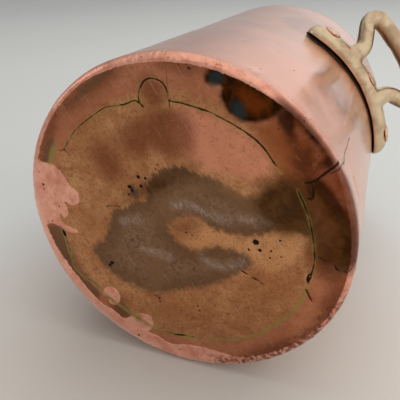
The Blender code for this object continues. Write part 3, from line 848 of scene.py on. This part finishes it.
    def seams_and_pits(self):
        """Brass that shows along the seams, cracks beside it, pits, and a painted shadow along the feet of both
        handles.
        """
        olive_tone = self.mix(self.puff, (0.44, 0.32, 0.095), (0.30, 0.21, 0.055))
        self.coat(self.times(self.ragged(self.mark("olive"), 1.5, 8, 1.2), 0.75), olive_tone)
        crack_width = self.calc("MULTIPLY_ADD", self.noise(9, 3, 0.6), 1.9, -0.50)
        crack = self.fade(self.calc("ADD", self.mark("crack"), crack_width), -0.22, 0.22)
        self.coat(crack, (0.040, 0.020, 0.008), 0.9)
        corner = self.times(self.fade(self.reach, 100, 108), self.fade(self.reach, 124, 117))
        pocks = self.times(
            self.fade(self.noise(1.6, 2, 0.5), 0.64, 0.70), self.fade(self.noise(16, 3, 0.6), 0.46, 0.60)
        )
        pit = self.ragged(self.mark("pit"), 0.35, 1.5, 0.3)
        pit = self.calc("MAXIMUM", pit, self.times(pocks, corner, 0.75))
        self.coat(pit, (0.012, 0.008, 0.006), 0.95)
        brass_line = self.times(self.fade(self.mark("brass"), -1.2, -0.4), self.fade(self.noise(14, 3), 0.4, 0.6))
        self.coat(brass_line, (0.92, 0.70, 0.50), 0.4)
        self.coat(self.ragged(self.mark("green"), 1.0, 3, 1.2), (0.42, 0.40, 0.22), 0.55)
        line_width = self.calc("MULTIPLY_ADD", self.noise(5, 3, 0.7), 1.4, -0.25)
        line = self.fade(self.calc("ADD", self.mark("line"), line_width), -0.3, 0.3)
        self.coat(line, (0.10, 0.05, 0.03), 0.7)
        foot_shadow_mask = self.painted_foot_shadow()
        # painted shadow along the feet of both handles
        self.coat(foot_shadow_mask, (0.02, 0.012, 0.008), 0.9)
        self.dirt_and_foot_shadow = self.calc("MAXIMUM", self.calc("MAXIMUM", crack, pit), self.calc("MAXIMUM", line, foot_shadow_mask))
        self.rough = self.blend(self.dirt_and_foot_shadow, self.rough, 0.75)

    def painted_foot_shadow(self):
        """A painted shadow, a dark band on the wall along the feet of both handles: 1 there and 0 elsewhere."""
        x, y, z = (self.axis(name) for name in "XYZ")
        along = self.times(self.calc("ARCTAN2", self.calc("ABSOLUTE", y), self.calc("ABSOLUTE", x)), RADIUS)
        past = self.calc("MAXIMUM", self.calc("SUBTRACT", along, FOOT_HALF - FOOT_RADIUS), 0.0)
        rise = self.calc("SUBTRACT", z, HANDLE_HEIGHT)
        away = self.calc("SQRT", self.calc("ADD", self.times(past, past), self.times(rise, rise)))
        from_axis = self.calc("ADD", self.times(x, x), self.times(y, y))
        outside = self.calc("GREATER_THAN", from_axis, (RADIUS - WALL / 3) ** 2)
        return self.times(self.fade(away, FOOT_RADIUS + 1.3 * MM, FOOT_RADIUS + 0.3 * MM), outside)

    def relief(self):
        """Grain and scratches, softer on the side; bright skin stands proud, and dirt and the painted foot shadow lie
        low.
        """
        grain = self.calc("ADD", self.times(self.grain, 0.6), self.times(self.noise(0.7, 3, 0.6), 0.25))
        grain = self.calc("ADD", grain, self.times(self.scratched, 0.25))
        normal = self.bump(self.times(grain, self.blend(self.side, 1.0, 0.12)), 0.16)
        normal = self.bump(self.times(self.noise(1.2, 3, 0.6, 0, (1, 1, 0.05)), self.side), 0.012, normal)
        edge = self.calc("ADD", self.times(self.bright, -0.25), self.times(self.dirt_and_foot_shadow, 0.5))
        return self.bump(self.times(edge, -1.0), 0.5, normal)


def copper_finish(name):
    f = Copper(name)
    f.oxide()
    f.soot()
    f.stains()
    f.burnish()
    f.seams_and_pits()
    return f.done(f.rough, f.relief(), f.metal)


def brass_finish():
    """Cast brass in mottled tones, with painted shade where it meets the wall and on the grip's faces turned toward it.
    """
    f = Finish("worn_brass")
    cloud = f.noise(16, 5, 0.6, 0.3)
    grain = f.noise(1.3, 5, 0.65)
    f.colour = f.mix(f.fade(cloud, 0.38, 0.66), (0.72, 0.55, 0.36), (0.50, 0.335, 0.205))
    f.coat(f.fade(grain, 0.55, 0.8), (0.26, 0.15, 0.08), 0.5)
    f.coat(f.hollows(0.5, 0.44), (0.16, 0.085, 0.045), 0.8)
    flat = f.node("ShaderNodeVectorMath", {0: f.place, 1: (1, 1, 0)}, operation="MULTIPLY")
    from_axis = f.node("ShaderNodeVectorMath", {0: flat}, "Value", operation="LENGTH")
    f.coat(f.fade(from_axis, RADIUS + 2.4 * MM, RADIUS + 1.0 * MM), (0.02, 0.012, 0.008))  # painted shade where the brass meets the wall
    # painted shade on the grip's faces turned toward the wall, more than 12 to 18 mm out from it
    outward = f.axis("X", f.node("ShaderNodeTexCoord", {}, "Normal"))
    turned = f.times(outward, f.calc("SIGN", f.axis("X")))
    painted_wall_side_shade = f.times(f.fade(turned, 0.1, -0.7), f.fade(from_axis, RADIUS + 12 * MM, RADIUS + 18 * MM))
    f.coat(painted_wall_side_shade, f.mix(f.fade(cloud, 0.4, 0.6), (0.06, 0.04, 0.025), (0.22, 0.13, 0.07)), 0.85)
    pits = f.fade(f.noise(0.8, 2, 0.5), 0.64, 0.72)
    height = f.calc("ADD", f.times(grain, 0.5), f.times(pits, -0.5))
    return f.done(f.blend(grain, 0.24, 0.38), f.bump(height, 0.08))


def rivet_finish():
    """Copper rivet heads, darker in the creases round their edges."""
    f = Finish("rivet_copper")
    cloud = f.noise(6, 4, 0.6, 0.3)
    grain = f.noise(1.1, 4, 0.6)
    f.colour = f.mix(f.fade(cloud, 0.4, 0.65), (0.82, 0.50, 0.37), (0.60, 0.33, 0.22))
    f.coat(f.hollows(0.49, 0.42), (0.10, 0.05, 0.03), 0.85)
    return f.done(f.blend(grain, 0.2, 0.38), f.bump(grain, 0.08))


def tin_finish():
    """Hand-wiped tin, grey and dull, with copper showing through where it is worn."""
    f = Finish("wiped_tin")
    streak = f.noise(9, 5, 0.6, 0.6, (1, 1, 0.25))
    grain = f.noise(1.8, 4, 0.6)
    f.colour = f.mix(f.fade(streak, 0.35, 0.7), (0.50, 0.49, 0.47), (0.33, 0.32, 0.31))
    f.coat(f.fade(f.noise(26, 5, 0.65, 0.8), 0.60, 0.70), (0.48, 0.27, 0.18), 0.5)
    height = f.calc("ADD", f.times(streak, 0.8), f.times(grain, 0.2))
    return f.done(f.blend(streak, 0.34, 0.58), f.bump(height, 0.25))


# Stage

def make_camera():
    forward, up = Vector(CAMERA_AIM).normalized(), Vector(CAMERA_UP).normalized()
    right = forward.cross(up).normalized()
    up = right.cross(forward)
    data = bpy.data.cameras.new("camera")
    data.lens = CAMERA_LENS
    data.sensor_width = 36
    data.clip_start, data.clip_end = 0.01, 50
    camera = bpy.data.objects.new("camera", data)
    turn = Matrix((right, up, -forward)).transposed().to_4x4()
    camera.matrix_world = Matrix.Translation(CAMERA_PLACE) @ turn
    bpy.context.scene.collection.objects.link(camera)
    bpy.context.scene.camera = camera


FLOOR_UP = Vector((-math.cos(FLOOR_AZIMUTH), -math.sin(FLOOR_AZIMUTH), 0))
FLOOR_ALONG = Vector((0, 0, 1))  # the pot's own axis lies flat on the floor
FLOOR_ACROSS = FLOOR_UP.cross(FLOOR_ALONG)
FLOOR_GAP = 0.4 * MM


def stage_point(across, along, up):
    """A place given in the frame of the floor that the pot lies on."""
    return FLOOR_ACROSS * across + FLOOR_ALONG * along + FLOOR_UP * (up - RADIUS - FLOOR_GAP)


def make_floor():
    """A pale plain floor, seen from above only, so that views from below it look through."""
    size = 8
    corners = [stage_point(a * size, b * size, 0) for a, b in ((-1, -1), (1, -1), (1, 1), (-1, 1))]
    mesh = bpy.data.meshes.new("floor")
    mesh.from_pydata([tuple(corner) for corner in corners], [], [(0, 1, 2, 3)])
    floor = bpy.data.objects.new("floor", mesh)
    bpy.context.scene.collection.objects.link(floor)
    if mesh.polygons[0].normal.dot(FLOOR_UP) < 0:
        mesh.flip_normals()
    mesh.materials.append(floor_finish())


def floor_finish():
    """Pale grey, with a painted warm, darker tint round the pot for the copper's reflected light and its shadow.
    Reflections of it from close by are lit by a painted glow, so that the pot doesn't mirror the dark of its own
    shadow, and from below it is clear."""
    f = Finish("floor")
    f.colour = f.mix(f.noise(900, 3, 0.5), (0.36, 0.366, 0.358), (0.39, 0.394, 0.385))
    away = f.node("ShaderNodeVectorMath", {0: f.place}, "Value", operation="LENGTH")
    # painted warm light and shadow round the pot
    f.coat(f.fade(away, 0.36, 0.14), (0.36, 0.305, 0.26), 0.6)
    f.feed(f.shader.inputs["Base Color"], f.colour)
    f.shader.inputs["Roughness"].default_value = 0.75
    path = f.nodes.new("ShaderNodeLightPath").outputs
    # painted glow: close reflections see the floor partly as a pale light
    close = f.times(path["Is Glossy Ray"], f.fade(path["Ray Length"], 0.16, 0.03), 0.8)
    glow = f.node("ShaderNodeEmission", {"Color": (0.42, 0.40, 0.38)})
    lit = f.node("ShaderNodeMixShader", {0: close, 1: f.shader.outputs[0], 2: glow})
    back = f.node("ShaderNodeNewGeometry", {}, "Backfacing")
    clear = f.node("ShaderNodeBsdfTransparent", {})
    shown = f.node("ShaderNodeMixShader", {0: back, 1: lit, 2: clear})
    f.links.new(shown, f.nodes["Material Output"].inputs["Surface"])
    return f.material


def make_lamp(name, place, size, power, colour, diffuse=True, glossy=True):
    """An area lamp aimed at the middle of the pot. diffuse and glossy say what it lights."""
    data = bpy.data.lights.new(name, "AREA")
    data.shape = "RECTANGLE"
    data.size, data.size_y = size
    data.energy = power
    data.color = colour
    lamp = bpy.data.objects.new(name, data)
    lamp.location = place
    lamp.visible_diffuse, lamp.visible_glossy = diffuse, glossy
    lamp.rotation_mode = "QUATERNION"
    lamp.rotation_quaternion = (LIT_POINT - place).to_track_quat("-Z", "Y")
    bpy.context.scene.collection.objects.link(lamp)


LIT_POINT = stage_point(0, 0.15, 0.1)
WARM, COOL = (1.0, 0.97, 0.92), (0.97, 0.98, 1.0)
WINDOW = stage_point(-1.9, -0.3, 1.1)


def make_light():
    """A sky that is brighter above and to one side, a soft ceiling, and a window with its reflection apart."""
    world = bpy.data.worlds.new("studio")
    world.use_nodes = True
    background = world.node_tree.nodes["Background"]
    nodes, links = world.node_tree.nodes, world.node_tree.links
    facing = nodes.new("ShaderNodeVectorMath")
    facing.operation = "DOT_PRODUCT"
    facing.inputs[1].default_value = FLOOR_UP * 0.65 - FLOOR_ACROSS * 0.75
    links.new(nodes.new("ShaderNodeTexCoord").outputs["Generated"], facing.inputs[0])
    spread = nodes.new("ShaderNodeMapRange")
    spread.interpolation_type = "SMOOTHSTEP"
    for key, value in (("From Min", -0.2), ("From Max", 0.4), ("To Min", 0.40), ("To Max", 0.95)):
        spread.inputs[key].default_value = value
    links.new(facing.outputs["Value"], spread.inputs["Value"])
    links.new(spread.outputs[0], background.inputs["Strength"])
    background.inputs["Color"].default_value = (0.98, 0.98, 0.97, 1)
    bpy.context.scene.world = world
    make_lamp("ceiling", stage_point(-0.6, 0.9, 3.0), (3.6, 3.0), 84, (1.0, 0.98, 0.96), glossy=False)
    make_lamp("window", WINDOW, (2.4, 2.2), 38, WARM, glossy=False)
    make_lamp("pane", WINDOW, (0.9, 1.0), 2.6, WARM, diffuse=False)
    make_lamp("card", stage_point(1.7, -0.1, 0.9), (0.9, 0.9), 2.2, COOL, diffuse=False)
    bpy.context.scene.view_settings.view_transform = "Standard"


worn_copper = copper_finish("worn_copper")
for piece in (make_wall(), make_base(), make_base_seam(), make_side_seam()):
    piece.data.materials.append(worn_copper)
make_lining().data.materials.append(tin_finish())
brass, rivet_copper = brass_finish(), rivet_finish()
for handle_side in ("right", "left"):
    make_handle(handle_side).data.materials.append(brass)
for number, node_name in enumerate(sorted(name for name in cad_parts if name.startswith("rivet"))):
    make_rivet(node_name, 60 + 5 * number).data.materials.append(rivet_copper)
make_floor()
make_light()
make_camera()
